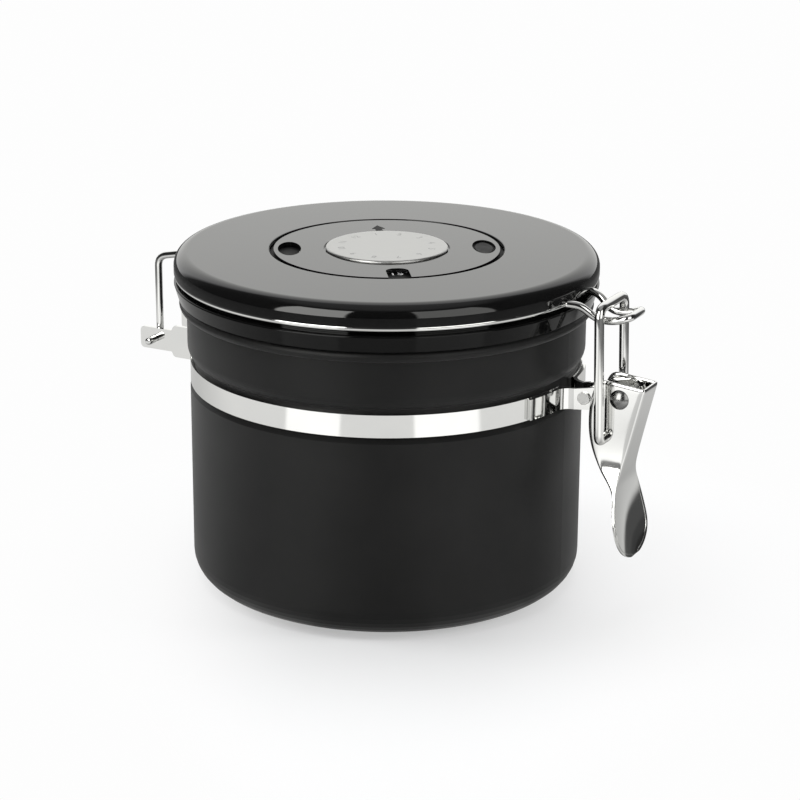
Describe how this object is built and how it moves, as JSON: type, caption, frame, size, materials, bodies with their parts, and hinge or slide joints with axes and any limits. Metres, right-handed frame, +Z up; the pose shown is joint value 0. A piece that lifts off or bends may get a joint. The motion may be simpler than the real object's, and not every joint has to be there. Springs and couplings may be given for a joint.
{
  "type": "airtight storage canister",
  "caption": "Round storage canister with a hinged bail lid, a toggle latch on a neck band, and a turning day and month dial with a one-way vent in the lid.",
  "frame": {"origin": "centre of the flat base underside", "axes": "+Z up along the can's axis, +X towards the latch, -X towards the hinge"},
  "size_m": [0.1754, 0.1338, 0.1075],
  "materials": {
    "body_coat": "matte",
    "steel": "polished",
    "brushed_disc": "brushed",
    "screw_steel": "satin",
    "lid_plastic": "gloss",
    "pad_plastic": "matte",
    "silicone": "matte"
  },
  "bodies": {
    "can": {"canister_body": "body_coat", "neck_band": "steel", "hinge_bracket": "steel", "latch_cheeks": "steel", "clamp_rivet": "steel", "lever_pin": "steel"},
    "lid": {"lid_wire": "steel", "lid_cover": "lid_plastic", "lid_base": "lid_plastic", "gasket": "silicone", "lid_screws": "screw_steel", "day_plate": "lid_plastic", "vent_body": "pad_plastic", "vent_guard": "lid_plastic"},
    "latch_lever": {"lever": "steel"},
    "bail_loop": {"bail": "steel"},
    "day_dial": {"day_ring": "lid_plastic", "finger_pad": "pad_plastic"},
    "month_dial": {"month_disc": "brushed_disc", "dial_washer": "screw_steel", "dial_screw": "screw_steel"},
    "vent_valve": {"vent_flap": "silicone"}
  },
  "joints": [
    {"name": "lid_hinge", "type": "hinge", "parent": "can", "child": "lid", "pos_m": [-0.0791, 0, 0.0691], "axis": [0, -1, 0], "range_deg": [0, 100]},
    {"name": "lever_pivot", "type": "hinge", "parent": "can", "child": "latch_lever", "pos_m": [0.0824, 0, 0.071], "axis": [0, -1, 0], "range_deg": [0, 100]},
    {"name": "bail_pivot", "type": "hinge", "parent": "latch_lever", "child": "bail_loop", "pos_m": [0.0778, 0, 0.058], "axis": [0, -1, 0], "range_deg": [-88, 0]},
    {"name": "day_turn", "type": "hinge", "parent": "lid", "child": "day_dial", "pos_m": [0, 0, 0.1062], "axis": [0, 0, 1], "continuous": true},
    {"name": "month_turn", "type": "hinge", "parent": "day_dial", "child": "month_dial", "pos_m": [0, 0, 0.1075], "axis": [0, 0, 1], "continuous": true},
    {"name": "vent_lift", "type": "slide", "parent": "lid", "child": "vent_valve", "axis": [0, 0, 1], "range_m": [0, 0.0008]}
  ],
  "couplings": [
    {"joint": "bail_pivot", "follows": "lever_pivot", "ratio": -0.87}
  ]
}
